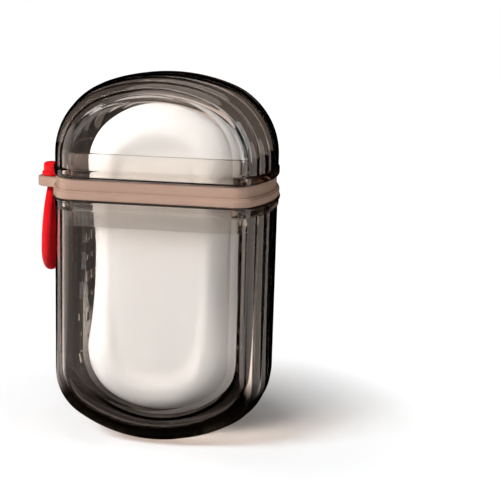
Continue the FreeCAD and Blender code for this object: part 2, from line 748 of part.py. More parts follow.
pad(frontEdge, "front_edge_pad", edgeSketch, size("caseWidth"), midplane=True)

cageBlock = common("cage_block", fuse("cage_and_ledge", troughOuter, ledge), frontEdge)


def slotBox(name, side, along, across, height):
    """One square drain slot, cut along X through both sides or along Y through the back."""
    box = doc.addObject("Part::Box", name)
    reach = halfWidth * 2 if along == "x" else halfDepth
    bind(box, "Length", reach if along == "x" else side)
    bind(box, "Width", side if along == "x" else reach)
    bind(box, "Height", side)
    bind(box, "Placement.Base.x", -halfWidth if along == "x" else across - side / 2)
    bind(box, "Placement.Base.y", across - side / 2 if along == "x" else asSize(0))
    bind(box, "Placement.Base.z", height - side / 2)
    return box


slots = []
slotCount = int(size("slotCount").number)
slotPitch = (collarLow - size("slotDrop") - size("slotLow")) / (slotCount - 1)
for row, across in enumerate((-1, 0, 1)):
    for step in range(2 * slotCount - 1):
        side = size("slotSmall") if step % 2 else size("slotSide")
        height = size("slotLow") + slotPitch * step / 2
        slots.append(slotBox(f"side_slot_{row}_{step}", side, "x", size("slotRow") * across, height))
for column, across in enumerate((-2, -1, 0, 1, 2)):
    for step in range(2 * slotCount - 1):
        side = size("slotSmall") if step % 2 else size("slotSide")
        height = size("slotLow") + slotPitch * step / 2
        slots.append(slotBox(f"back_slot_{column}_{step}", side, "y", size("slotColumn") * across, height))

cageSolid = cut("cage_solid", cageBlock, troughInner)
traySolid = fuse("tray_solid", cageSolid, collar)
drainTray = cut("drain_tray", traySolid, fuse("slot_tools", *slots))

# Soap bar: a padded waisted outline with rounded edges and a shallow oval dish in front

soapForm = newBody("soap_form")
soapHigh = caseTop - size("soapHeadroom")
barOutline = newSketch(soapForm, "bar_outline", "XZ_Plane", size("soapForward"))


def drawBar(sketch):
    """Two arches joined by sides that pull in to a waist."""
    half, round_ = soapHalf, soapRound
    low, high = soapLow + size("soapArch"), soapHigh - size("soapArch")
    crownRadius = archRadius(half, size("soapArch"), round_)
    reach = (high - low) / 2
    waist = size("soapWaist")
    flare = reach * reach / (2 * waist)
    crownAngle = math.atan2((crownRadius - size("soapArch")).number, (half - round_).number)
    a, r = half.number, round_.number
    centreHigh, centreLow, middleZ = high.number, low.number, ((high + low) / 2).number
    side = math.asin(reach.number / (flare.number + r))
    sideX = (a - r) + (flare.number + r) * math.cos(side)
    sketch.addGeometry([
        arc((sideX, middleZ), flare.number, math.pi - side, math.pi + side),
        arc((a - r, centreHigh), r, -side, crownAngle),
        arc((0, (soapHigh - crownRadius).number), crownRadius.number, crownAngle, math.pi - crownAngle),
        arc((r - a, centreHigh), r, math.pi - crownAngle, math.pi + side),
        arc((-sideX, middleZ), flare.number, -side, side),
        arc((r - a, centreLow), r, math.pi - side, math.pi + crownAngle),
        arc((0, (soapLow + crownRadius).number), crownRadius.number,
            math.pi + crownAngle, -crownAngle),
        arc((a - r, centreLow), r, -crownAngle, side),
    ], False)
    rightSide, rightTop, crown, leftTop, leftSide, leftBottom, base, rightBottom = range(8)
    constrain(sketch, "Tangent", rightSide, startEnd, rightTop, startEnd)
    constrain(sketch, "Tangent", rightTop, farEnd, crown, startEnd)
    constrain(sketch, "Tangent", crown, farEnd, leftTop, startEnd)
    constrain(sketch, "Tangent", leftTop, farEnd, leftSide, farEnd)
    constrain(sketch, "Tangent", leftSide, startEnd, leftBottom, startEnd)
    constrain(sketch, "Tangent", leftBottom, farEnd, base, startEnd)
    constrain(sketch, "Tangent", base, farEnd, rightBottom, startEnd)
    constrain(sketch, "Tangent", rightBottom, farEnd, rightSide, farEnd)
    constrain(sketch, "PointOnObject", crown, middle, upAxis)
    constrain(sketch, "PointOnObject", base, middle, upAxis)
    for item in (rightTop, leftTop, rightBottom, leftBottom):
        constrain(sketch, "Radius", item, value=round_)
    constrain(sketch, "Radius", crown, value=crownRadius)
    constrain(sketch, "Radius", base, value=crownRadius)
    constrain(sketch, "DistanceX", originLine, axisPoint, rightTop, middle, value=half - round_)
    constrain(sketch, "DistanceX", originLine, axisPoint, rightBottom, middle, value=half - round_)
    constrain(sketch, "DistanceX", leftTop, middle, originLine, axisPoint, value=half - round_)
    constrain(sketch, "DistanceX", leftBottom, middle, originLine, axisPoint, value=half - round_)
    constrain(sketch, "DistanceY", originLine, axisPoint, rightTop, middle, value=high)
    constrain(sketch, "DistanceY", originLine, axisPoint, rightBottom, middle, value=low)
    constrain(sketch, "Radius", rightSide, value=flare)
    constrain(sketch, "Radius", leftSide, value=flare)


drawBar(barOutline)
barPad = pad(soapForm, "bar", barOutline, size("soapThick"), midplane=True)
doc.recompute()
barFaces = [(soapMiddle - size("soapThick") / 2).number, (soapMiddle + size("soapThick") / 2).number]
fillet(soapForm, "bar_edge", barPad, flatFaceEdges(barPad, "y", barFaces), size("soapEdge"))

dish = doc.addObject("Part::Ellipsoid", "bar_dish")
dishReach = size("dishBall") - size("dishDepth")
dishShare = (1 - dishReach * dishReach / (size("dishBall") * size("dishBall"))).root()
bind(dish, "Radius1", size("dishHeight") / 2 / dishShare)
bind(dish, "Radius2", size("dishWidth") / 2 / dishShare)
bind(dish, "Radius3", size("dishBall"))
bind(dish, "Placement.Base.y", soapMiddle - size("soapThick") / 2 - dishReach)
bind(dish, "Placement.Base.z", (soapLow + soapHigh) / 2)
soapBar = cut("soap_bar", soapForm, dish)

doc.recompute()
subParts = {
    "base_shell": baseShell,
    "lid_shell": lidShell,
    "sealing_ring": sealingRing,
    "pull_tag": pullTag,
    "drain_tray": drainTray,
    "soap_bar": soapBar,
}

failed = []
for item in doc.Objects:
    if any(word in state for state in item.State for word in ("Invalid", "Error")):
        failed.append(f"{item.Name}: {item.State}")
for name, item in subParts.items():
    shape = item.Shape
    if shape.isNull() or not shape.isValid():
        failed.append(f"{name}: bad shape")
if failed:
    raise RuntimeError("; ".join(failed))

os.makedirs("parts", exist_ok=True)
for name, item in subParts.items():
    shape = item.Shape
    shape.exportStep(f"parts/{name}.step")
    box = shape.BoundBox
    print(name, len(shape.Solids), "solids", round(shape.Volume), "mm3",
          [round(value, 2) for value in (box.XMin, box.YMin, box.ZMin, box.XMax, box.YMax, box.ZMax)])
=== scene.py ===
import math

import bmesh
import bpy
import numpy as np
from mathutils import Matrix, Vector


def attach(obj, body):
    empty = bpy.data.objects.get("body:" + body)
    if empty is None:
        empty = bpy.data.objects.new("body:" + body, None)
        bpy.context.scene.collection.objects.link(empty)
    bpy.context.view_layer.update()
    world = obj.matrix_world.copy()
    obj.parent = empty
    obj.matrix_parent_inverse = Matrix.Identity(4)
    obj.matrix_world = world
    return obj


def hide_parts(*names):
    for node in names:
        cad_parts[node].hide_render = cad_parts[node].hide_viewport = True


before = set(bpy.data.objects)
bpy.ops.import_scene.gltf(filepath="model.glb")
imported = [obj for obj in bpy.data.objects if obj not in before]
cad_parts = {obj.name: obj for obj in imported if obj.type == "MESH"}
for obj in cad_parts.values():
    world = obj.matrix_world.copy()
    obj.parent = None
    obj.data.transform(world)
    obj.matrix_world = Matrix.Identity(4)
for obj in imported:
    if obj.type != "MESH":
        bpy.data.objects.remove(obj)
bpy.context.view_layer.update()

scene = bpy.context.scene
scene.view_settings.view_transform = "Standard"
mm = 0.001


# Shapes shared by the pieces. Sizes are in millimetres until a mesh is made.

loopSteps = {"side": 26, "corner": 18, "crown": 36}
roundTurns = (0, 22, 45, 68, 90)  # degrees round a soft edge
beyond = {"side": 60.0, "top": 200.0}  # cutting bodies reach this far
mergeWithin, sliverBelow = 2e-6, 1e-6  # metres


def archArcs(half, height, corner):
    # crown radius of an arch with rounded corners, and the angle where crown and corner meet
    crown = (half ** 2 + height ** 2 - 2 * half * corner) / (2 * (height - corner))
    return crown, math.atan2(crown - height, half - corner)


def capsuleLoop(half, top, bottom, topArch, bottomArch, topRound, bottomRound):
    # points and outward directions round straight sides with an arch at each end
    crown, lean = archArcs(half, topArch, topRound)
    foot, slope = archArcs(half, bottomArch, bottomRound)
    low, high = bottom + bottomArch, top - topArch
    points, outward = [], []

    def arc(x, z, radius, begin, end, steps):
        turn = np.linspace(begin, end, steps, endpoint=False)
        way = np.c_[np.cos(turn), np.sin(turn)]
        points.append(np.array([x, z]) + radius * way)
        outward.append(way)

    def side(x, begin, end):
        height = np.linspace(begin, end, loopSteps["side"], endpoint=False)
        points.append(np.c_[np.full(len(height), x), height])
        outward.append(np.tile([math.copysign(1, x), 0], (len(height), 1)))

    side(half, low, high)
    arc(half - topRound, high, topRound, 0, lean, loopSteps["corner"])
    arc(0, top - crown, crown, lean, math.pi - lean, loopSteps["crown"])
    arc(topRound - half, high, topRound, math.pi - lean, math.pi, loopSteps["corner"])
    side(-half, high, low)
    arc(bottomRound - half, low, bottomRound, math.pi, math.pi + slope, loopSteps["corner"])
    arc(0, bottom + foot, foot, math.pi + slope, 2 * math.pi - slope, loopSteps["crown"])
    arc(half - bottomRound, low, bottomRound, 2 * math.pi - slope, 2 * math.pi, loopSteps["corner"])
    return np.vstack(points), np.vstack(outward)


def upright(points, station):
    # a loop drawn in the XZ plane, at a depth station
    return np.c_[points[:, 0], np.full(len(points), station), points[:, 1]]


def level(points, height):
    # a loop drawn as a plan, with its long axis along X
    return np.c_[points[:, 1], points[:, 0], np.full(len(points), height)]


def quarter(edge, degrees):
    # on a quarter round: how far below its end, and how far pulled in
    turn = math.radians(degrees)
    return edge * (1 - math.sin(turn)), edge * (1 - math.cos(turn))


def roundedEnds(low, high, edge):
    # heights and pull-ins of a wall with softly rounded edges
    ends = [quarter(edge, degrees) for degrees in roundTurns]
    return [(low + rise, pull) for rise, pull in ends[::-1]] + [(high - rise, pull) for rise, pull in ends]


def closedMesh(name, loops, hollow=False):
    # skins a stack of loops; the ends are capped, or joined when the stack is a closed ring
    count, rows = len(loops[0]), len(loops)
    verts = np.vstack(loops) * mm
    faces = []
    for row in range(rows if hollow else rows - 1):
        here, there = row * count, (row + 1) % rows * count
        for item in range(count):
            after = (item + 1) % count
            faces.append((here + item, here + after, there + after, there + item))
    if not hollow:
        faces.append(tuple(range(count))[::-1])
        faces.append(tuple(range((rows - 1) * count, rows * count)))
    mesh = bpy.data.meshes.new(name)
    mesh.from_pydata(verts.tolist(), [], faces)
    turnOutward(mesh)
    piece = bpy.data.objects.new(name, mesh)
    scene.collection.objects.link(piece)
    return piece


def turnOutward(mesh):
    work = bmesh.new()
    work.from_mesh(mesh)
    if work.calc_volume(signed=True) < 0:
        bmesh.ops.reverse_faces(work, faces=work.faces)
    work.to_mesh(mesh)
    work.free()


def settled(piece):
    # applies the modifiers of a piece to its mesh
    graph = bpy.context.evaluated_depsgraph_get()
    mesh = bpy.data.meshes.new_from_object(piece.evaluated_get(graph))
    piece.modifiers.clear()
    old, piece.data = piece.data, mesh
    bpy.data.meshes.remove(old)
    return piece


def joined(piece, tool, operation):
    # one boolean step; the tool is used up
    step = piece.modifiers.new("step", "BOOLEAN")
    step.object = tool
    step.operation = operation
    step.solver = "MANIFOLD"
    settled(piece)
    bpy.data.objects.remove(tool)


def block(name, low, high):
    corners = [(low[0], low[1]), (high[0], low[1]), (high[0], high[1]), (low[0], high[1])]
    return closedMesh(name, [np.array([(x, y, z) for x, y in corners]) for z in (low[2], high[2])])


def smoothed(piece, angle):
    # merges what a boolean step left double, and shades curved faces smooth between sharp edges
    work = bmesh.new()
    work.from_mesh(piece.data)
    bmesh.ops.remove_doubles(work, verts=work.verts, dist=mergeWithin)
    bmesh.ops.dissolve_degenerate(work, edges=work.edges, dist=sliverBelow)
    work.to_mesh(piece.data)
    work.free()
    piece.data.polygons.foreach_set("use_smooth", [True] * len(piece.data.polygons))
    piece.data.set_sharp_from_angle(angle=math.radians(angle))
    return piece


def finishPiece(piece, node, body, material):
    piece.data.materials.clear()
    piece.data.materials.append(material)
    piece.data.polygons.foreach_set("material_index", [0] * len(piece.data.polygons))
    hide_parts(node)
    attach(piece, body)
    print(piece.name, "has", len(piece.data.polygons), "faces")


# Node helpers

def treeNode(tree, kind, **values):
    node = tree.nodes.new(kind)
    for key, value in values.items():
        setattr(node, key, value)
    return node


def feed(tree, value, socket):
    # a number or a colour is set on the socket, an output is linked to it
    if isinstance(value, (int, float)):
        socket.default_value = value
    elif isinstance(value, (tuple, list)):
        socket.default_value = (*value, 1)
    else:
        tree.links.new(value, socket)


def mathNode(tree, operation, first, second=None):
    node = treeNode(tree, "ShaderNodeMath", operation=operation)
    feed(tree, first, node.inputs[0])
    if second is not None:
        feed(tree, second, node.inputs[1])
    return node.outputs[0]


def newTree(name, inputs):
    # a Geometry Nodes tree with a geometry in and out, named inputs and a material
    tree = bpy.data.node_groups.new(name, "GeometryNodeTree")
    face = tree.interface
    for label, kind in {"Geometry": "Geometry", **inputs, "Material": "Material"}.items():
        face.new_socket(label, in_out="INPUT", socket_type="NodeSocket" + kind)
    face.new_socket("Geometry", in_out="OUTPUT", socket_type="NodeSocketGeometry")
    return tree


def closeTree(tree, geometry, source):
    # every tree ends in Realize Instances and Set Material
    realize = treeNode(tree, "GeometryNodeRealizeInstances")
    paint = treeNode(tree, "GeometryNodeSetMaterial")
    out = treeNode(tree, "NodeGroupOutput")
    tree.links.new(geometry, realize.inputs[0])
    tree.links.new(realize.outputs[0], paint.inputs["Geometry"])
    tree.links.new(source.outputs["Material"], paint.inputs["Material"])
    tree.links.new(paint.outputs[0], out.inputs[0])


def grown(piece, tree, values):
    # runs a tree on a piece, with its inputs set by the sockets' identifiers, and keeps the plain mesh
    step = piece.modifiers.new(tree.name, "NODES")
    step.node_group = tree
    for socket in tree.interface.items_tree:
        if socket.in_out == "INPUT" and socket.name in values:
            step[socket.identifier] = values[socket.name]
    return settled(piece)


# Materials

def newMaterial(name):
    material = bpy.data.materials.new(name)
    material.use_nodes = True
    tree = material.node_tree
    return material, tree, tree.nodes["Principled BSDF"], tree.nodes["Material Output"]


def objectNoise(tree, scale, detail, roughness, stretch=(1, 1, 1)):
    place = treeNode(tree, "ShaderNodeTexCoord")
    spread = treeNode(tree, "ShaderNodeMapping")
    spread.inputs["Scale"].default_value = stretch
    noise = treeNode(tree, "ShaderNodeTexNoise")
    for label, number in (("Scale", scale), ("Detail", detail), ("Roughness", roughness)):
        noise.inputs[label].default_value = number
    tree.links.new(place.outputs["Object"], spread.inputs["Vector"])
    tree.links.new(spread.outputs["Vector"], noise.inputs["Vector"])
    return noise.outputs["Fac"]


def ranged(tree, value, low, high, fromLow, fromHigh):
    # low where value is fromLow, high where it is fromHigh
    node = treeNode(tree, "ShaderNodeMapRange")
    tree.links.new(value, node.inputs["Value"])
    for label, number in (("From Min", fromLow), ("From Max", fromHigh), ("To Min", low), ("To Max", high)):
        node.inputs[label].default_value = number
    return node.outputs["Result"]


def mixed(tree, value, first, second, kind="RGBA"):
    # first where value is 0, second where it is 1
    node = treeNode(tree, "ShaderNodeMix", data_type=kind)
    feed(tree, value, node.inputs["Factor"])
    feed(tree, first, node.inputs["A"])
    feed(tree, second, node.inputs["B"])
    return node.outputs["Result"]


def bumped(tree, shader, height, strength, distance):
    node = treeNode(tree, "ShaderNodeBump")
    node.inputs["Strength"].default_value = strength
    node.inputs["Distance"].default_value = distance
    tree.links.new(height, node.inputs["Height"])
    tree.links.new(node.outputs["Normal"], shader.inputs["Normal"])


noiseSpan = (0.3, 0.7)  # the part of a noise's range that is spread over its effect


def smokePlastic(name, look):
    # clear tinted moulding: a tint in the depth of the wall, faint flow marks on the surface
    material, tree, shader, out = newMaterial(name)
    shader.inputs["Base Color"].default_value = (*look["surface"], 1)
    shader.inputs["Transmission Weight"].default_value = 1.0
    shader.inputs["IOR"].default_value = look["ior"]
    flow = objectNoise(tree, *look["flow"])
    tree.links.new(ranged(tree, flow, *look["rough"], *noiseSpan), shader.inputs["Roughness"])
    bumped(tree, shader, flow, look["flowStrength"], look["flowHeight"])
    clear = treeNode(tree, "ShaderNodeBsdfTransparent")
    clear.inputs["Color"].default_value = (*look["shadow"], 1)
    rays = treeNode(tree, "ShaderNodeLightPath")
    either = treeNode(tree, "ShaderNodeMixShader")
    tree.links.new(rays.outputs["Is Shadow Ray"], either.inputs["Fac"])
    tree.links.new(shader.outputs["BSDF"], either.inputs[1])
    tree.links.new(clear.outputs["BSDF"], either.inputs[2])
    tree.links.new(either.outputs[0], out.inputs["Surface"])
    depth = treeNode(tree, "ShaderNodeVolumeAbsorption")
    depth.inputs["Color"].default_value = (*look["depth"], 1)
    depth.inputs["Density"].default_value = look["density"]
    tree.links.new(depth.outputs["Volume"], out.inputs["Volume"])
    return material


def mattSurface(name, look):
    # rubber, soap and the painted shade on the rims: a cloudy tone under a fine grain
    material, tree, shader, out = newMaterial(name)
    cloud = objectNoise(tree, *look["cloud"])
    tone = mixed(tree, ranged(tree, cloud, 0, 1, *look["cloudSpan"]), look["dark"], look["light"])
    tree.links.new(tone, shader.inputs["Base Color"])
    grain = objectNoise(tree, *look["grain"])
    tree.links.new(ranged(tree, grain, *look["rough"], *noiseSpan), shader.inputs["Roughness"])
    bumped(tree, shader, grain, look["grainStrength"], look["grainHeight"])
    shader.inputs["Specular IOR Level"].default_value = look["shine"]
    return material


# cloud, grain and flow give a noise's scale, detail and roughness
shellLook = {
    "surface": (1.0, 1.0, 1.0), "ior": 1.5, "rough": (0.0, 0.02), "shadow": (0.99, 0.985, 0.98),
    "flow": (38.0, 2.0, 0.5, (1, 1, 0.45)), "flowStrength": 0.05, "flowHeight": 0.0004,
    "depth": (0.64, 0.555, 0.495), "density": 320.0,
}
trayLook = dict(shellLook, depth=(0.70, 0.47, 0.24), density=80.0)
ringLook = {
    "dark": (0.265, 0.162, 0.119), "light": (0.305, 0.192, 0.142), "cloud": (60.0, 3.0, 0.5),
    "cloudSpan": (0.3, 0.7), "grain": (900.0, 4.0, 0.6), "grainStrength": 0.25, "grainHeight": 0.00008,
    "rough": (0.42, 0.55), "shine": 0.45,
}
tagLook = dict(ringLook, dark=(0.45, 0.0025, 0.006), light=(0.54, 0.0035, 0.007), cloud=(90.0, 3.0, 0.5),
               grainStrength=0.2, rough=(0.34, 0.48), shine=0.22)
# painted shade: a near-black matt tone for the rims' ends, where the wall looks dark
rimShadeLook = dict(ringLook, dark=(0.010, 0.007, 0.006), light=(0.018, 0.013, 0.011), cloud=(70.0, 3.0, 0.5),
               grain=(400.0, 4.0, 0.6), grainStrength=0.1, rough=(0.12, 0.24), shine=0.4)
soapLook = {
    "dark": (0.725, 0.755, 0.77), "light": (0.785, 0.815, 0.83), "cloud": (26.0, 4.0, 0.55),
    "cloudSpan": (0.32, 0.68), "grain": (260.0, 5.0, 0.6), "grainStrength": 0.18, "grainHeight": 0.0001,
    "rough": (0.38, 0.52), "shine": 0.5,
}
shellPlastic = smokePlastic("shellPlastic", shellLook)
rimShadePaint = mattSurface("rimShadePaint", rimShadeLook)
trayPlastic = smokePlastic("trayPlastic", trayLook)
ringRubber = mattSurface("ringRubber", ringLook)
tagRubber = mattSurface("tagRubber", tagLook)
soapMaterial = mattSurface("soapMaterial", soapLook)
print("materials made")


# Case: the ribbed outside, the smooth cavity and the bands at the two rims

case = {
    # arches and rounds are pairs: at mid depth and at a panel; edgeTurn is in shares of panelEdge
    "halfWidth": 36.6, "halfDepth": 27.0, "top": 122.0, "bottom": -1.2,
    "sideInset": 10.9, "topInset": 5.7, "bottomInset": 15.5, "bevelRound": 6.0,
    "topArch": (27.0, 20.4), "topRound": (25.0, 18.6),
    "bottomArch": (24.0, 17.2), "bottomRound": (19.0, 12.6),
    "grooveReach": 23.0, "grooveDepth": 1.2, "ribCount": 7, "ribStations": 14, "bevelCrown": 0.8,
    "bevelFade": 1.6, "bevelSteps": 15, "wall": 2.4, "panelWall": 2.0,
    "panelEdge": 0.4, "edgeStart": 0.3, "edgeTurn": ((0.12, -0.12), (0.02, 0.2), (0.0, 0.6), (0.0, 1.6)),
    "cavityInset": 9.3, "cavityRound": 5.0, "cavityCap": 1.0, "cavitySteps": (12, 26), "bottomCurve": 1.5,
    "sharpAngle": 30,
}
rims = {
    "base": 82.4, "lid": 89.1, "baseBand": 3.6, "lidBand": 3.0, "bandProud": 0.4,
    "lipHeight": 1.2, "lipProud": 0.8, "edge": 0.8, "edgeShare": 0.4, "edgeSpare": 0.4,
    # how near a rim's end, and how much turned towards it, a face must be to get the painted rim shade
    "shadeReach": 0.9, "shadeLean": 0.1,
}


def caseShape(inset, share, half=None):
    # the case's outline, from share 0 at mid depth to 1 at a panel
    def blend(pair):
        return pair[0] + (pair[1] - pair[0]) * share
    return dict(
        half=case["halfWidth"] - inset if half is None else half,
        top=case["top"] - case["topInset"] * share,
        bottom=case["bottom"] + case["bottomInset"] * share ** case["bottomCurve"],
        topArch=blend(case["topArch"]), bottomArch=blend(case["bottomArch"]),
        topRound=blend(case["topRound"]), bottomRound=blend(case["bottomRound"]))


def shrunk(shape, inset):
    # the outline moved in all round
    return {key: value + inset if key == "bottom" else value - inset for key, value in shape.items()}


def sideArc():
    return archArcs(case["halfDepth"], case["sideInset"], case["bevelRound"])[0]


def crestInset(station):
    radius = sideArc()
    return radius - math.sqrt(radius ** 2 - station ** 2)


def caseStations():
    # stations and insets of the crests' envelope, from the front panel to the back one
    reach, edge = case["grooveReach"], case["panelEdge"]
    deep, rim = case["halfDepth"], case["sideInset"]
    steps = case["ribStations"] * case["ribCount"]
    rows = [(station, crestInset(station)) for station in np.linspace(-reach, reach, steps + 1)]
    grooveInset = crestInset(reach) + case["grooveDepth"]
    mid = (rim + grooveInset) / 2 - case["bevelCrown"]
    outer = []
    for t in np.linspace(0, 1, case["bevelSteps"])[1:-1]:
        station = reach + t * (deep - reach)
        inset = grooveInset * (1 - t) * (1 - 2 * t) + mid * 4 * t * (1 - t) + rim * t * (2 * t - 1)
        fade = max(0.0, 1 - (station - reach) / case["bevelFade"]) ** 2
        if station < deep - case["edgeStart"] * edge:
            outer.append((station, inset - case["grooveDepth"] * fade))
    outer += [(deep - back * edge, rim + inward * edge) for back, inward in case["edgeTurn"]]
    front = [(-station, inset) for station, inset in outer[::-1]]
    return front + rows + outer


def caseBody():
    # carries its stations and inward directions as attributes, for the tree that presses the grooves
    rows, inward, stations = [], [], []
    for station, inset in caseStations():
        past = inset - case["sideInset"]
        if past > 0:
            shape = shrunk(caseShape(case["sideInset"], 1.0), past)
        else:
            shape = caseShape(inset, inset / case["sideInset"])
        points, outward = capsuleLoop(**shape)
        rows.append(upright(points, station))
        inward.append(upright(-outward, 0))
        stations += [station] * len(points)
    body = closedMesh("caseBody", rows)
    mesh = body.data
    way = mesh.attributes.new("inward", "FLOAT_VECTOR", "POINT")
    way.data.foreach_set("vector", np.vstack(inward).ravel())
    place = mesh.attributes.new("station", "FLOAT", "POINT")
    place.data.foreach_set("value", np.array(stations, dtype=float))
    return body


def ribTree():
    # presses rounded grooves into the case: full depth at each groove, nothing at each crest
    tree = newTree("ribs", {
        "Groove depth": "Float", "Rib pitch": "Float", "Groove reach": "Float", "Bevel fade": "Float"})
    source = treeNode(tree, "NodeGroupInput")
    place = treeNode(tree, "GeometryNodeInputNamedAttribute", data_type="FLOAT")
    place.inputs["Name"].default_value = "station"
    way = treeNode(tree, "GeometryNodeInputNamedAttribute", data_type="FLOAT_VECTOR")
    way.inputs["Name"].default_value = "inward"
    station = place.outputs["Attribute"]
    reach = source.outputs["Groove reach"]
    phase = mathNode(tree, "DIVIDE", mathNode(tree, "ADD", station, reach), source.outputs["Rib pitch"])
    wave = mathNode(tree, "SUBTRACT", mathNode(tree, "MULTIPLY", mathNode(tree, "FRACT", phase), 2.0), 1.0)
    rib = mathNode(tree, "MULTIPLY", wave, wave)
    past = mathNode(tree, "SUBTRACT", mathNode(tree, "ABSOLUTE", station), reach)
    fade = mathNode(tree, "SUBTRACT", 1.0, mathNode(tree, "DIVIDE", past, source.outputs["Bevel fade"]))
    fade = mathNode(tree, "MAXIMUM", fade, 0.0)
    fade = mathNode(tree, "MULTIPLY", fade, fade)
    outside = mathNode(tree, "GREATER_THAN", past, 0.0001)  # past the last groove, beyond rounding
    inside = mathNode(tree, "SUBTRACT", 1.0, outside)
    share = mathNode(tree, "ADD", mathNode(tree, "MULTIPLY", fade, outside),
                     mathNode(tree, "MULTIPLY", rib, inside))
    depth = mathNode(tree, "MULTIPLY", share, source.outputs["Groove depth"])
    move = treeNode(tree, "ShaderNodeVectorMath", operation="SCALE")
    tree.links.new(way.outputs["Attribute"], move.inputs[0])
    tree.links.new(depth, move.inputs["Scale"])
    shift = treeNode(tree, "GeometryNodeSetPosition")
    tree.links.new(source.outputs["Geometry"], shift.inputs["Geometry"])
    tree.links.new(move.outputs[0], shift.inputs["Offset"])
    closeTree(tree, shift.outputs[0], source)
    return tree


def cavityBody():
    # the smooth inside, on a plan of two corner arcs and a side arc
    reach = case["halfDepth"] - case["panelWall"]
    inset, corner = case["cavityInset"], case["cavityRound"]
    cornerSteps, sideSteps = case["cavitySteps"]
    radius, lean = archArcs(reach, inset, corner)
    turns = [(reach - corner + corner * math.cos(t), inset - corner * math.sin(t))
             for t in np.linspace(0, lean, cornerSteps, endpoint=False)]
    side = [(radius * math.cos(t), radius - radius * math.sin(t))
            for t in np.linspace(lean, math.pi / 2, sideSteps)]
    half = [(reach, inset + case["cavityCap"])] + turns + side
    rows = [(-station, sideways) for station, sideways in half] + half[-2::-1]
    loops = []
    for station, sideways in rows:
        share = min(1.0, sideways / inset)
        shape = caseShape(0, share, case["halfWidth"] - min(sideways, inset))
        shape = shrunk(shape, case["wall"] + max(0.0, sideways - inset))
        loops.append(upright(capsuleLoop(**shape)[0], station))
    return closedMesh("cavityBody", loops)


def planShape(proud):
    # the case's plan at a rim, moved out by proud
    out = case["halfWidth"] + proud
    return dict(half=case["halfDepth"] + proud, top=out, bottom=-out,
                topArch=case["sideInset"] + proud, bottomArch=case["sideInset"] + proud,
                topRound=case["bevelRound"] + proud, bottomRound=case["bevelRound"] + proud)


def innerPlan(inward):
    # the cavity's plan, moved in by inward
    out = case["halfWidth"] - case["wall"] - inward
    arch, corner = case["cavityInset"] - inward, case["cavityRound"] - inward
    return dict(half=case["halfDepth"] - case["panelWall"] - inward, top=out, bottom=-out,
                topArch=arch, bottomArch=arch, topRound=corner, bottomRound=corner)


def planLoop(shape, height):
    return level(capsuleLoop(**shape)[0], height)


def rimBand(name, low, high, proud):
    edge = min(rims["edge"], rims["edgeShare"] * (high - low), proud + rims["edgeSpare"])
    loops = [planLoop(planShape(proud - pull), height) for height, pull in roundedEnds(low, high, edge)]
    return closedMesh(name, loops)


def shell(name, low, high, bands):
    body = caseBody()
    grown(body, ribTree(), {
        "Groove depth": case["grooveDepth"] * mm, "Rib pitch": 2 * case["grooveReach"] / case["ribCount"],
        "Groove reach": case["grooveReach"], "Bevel fade": case["bevelFade"], "Material": shellPlastic})
    body.name = name
    wide = beyond["side"]
    joined(body, block("slab", (-wide, -wide, low), (wide, wide, high)), "INTERSECT")
    for band in bands:
        joined(body, rimBand("band", *band), "UNION")
    joined(body, cavityBody(), "DIFFERENCE")
    return smoothed(body, case["sharpAngle"])


def paintRimShade(piece, height, facing):
    # painted shade: the rim's end and its rounded edge get a near-black matt material, standing in for the
    # dark that light running along inside the wall gives them
    piece.data.materials.append(rimShadePaint)
    for face in piece.data.polygons:
        near = abs(face.center.z - height * mm) < rims["shadeReach"] * mm
        if near and face.normal.z * facing > rims["shadeLean"]:
            face.material_index = 1


baseShell = shell("baseShell", 0, rims["base"], [
    (rims["base"] - rims["baseBand"], rims["base"], rims["bandProud"]),
    (rims["base"] - rims["lipHeight"], rims["base"], rims["lipProud"])])
finishPiece(baseShell, "base_shell", "base", shellPlastic)
paintRimShade(baseShell, rims["base"], 1)
lidShell = shell("lidShell", rims["lid"], beyond["top"], [
    (rims["lid"], rims["lid"] + rims["lidBand"], rims["bandProud"])])
finishPiece(lidShell, "lid_shell", "lid", shellPlastic)
paintRimShade(lidShell, rims["lid"], -1)
print("case done")


# Drain tray: a collar, a ledge and a slotted cage

tray = {
    # cutLow and cutBack bound the cage's cutting body; sideCut and backCut are the slot cutters' lengths
    "collarLow": 73.7, "collarHigh": 97.1, "collarWall": 1.6, "collarGap": 0.6, "collarRound": 0.3,
    "wall": 1.5, "back": 12.8, "backRound": 7.0, "backCap": 1.5, "backSteps": 12,
    "troughHalf": 25.2, "troughFront": -30.0, "barGap": 0.3,
    "front": -12.5, "step": 4.0, "stepLow": 44.0, "stepHigh": 64.0, "stepSteps": 25,
    "cutLow": -10.0, "cutBack": 40.0, "sharpAngle": 30,
    "slot": 3.0, "smallSlot": 1.4, "slotLow": 25.4, "slotPitch": 13.7, "slotSteps": 7,
    "sideRows": 3, "slotRow": 6.0, "sideCut": 90.0,
    "backRows": 5, "slotColumn": 7.2, "backAt": 20.0, "backCut": 36.0,
}
bar = {
    "halfWidth": 24.8, "low": 8.4, "high": 112.6, "arch": 21.0, "round": 19.0, "waist": 2.8,
    "middle": -3.0, "thick": 28.0, "edge": 10.0, "sharpAngle": 60,
    "dishDepth": 0.9, "dishWidth": 34.0, "dishHeight": 84.0, "dishRim": 0.5, "dishPowers": (3, 4),
    "archSteps": 40, "turnSteps": 22, "edgeSteps": 14, "faceSteps": 26, "faceMiddle": 0.03,
}


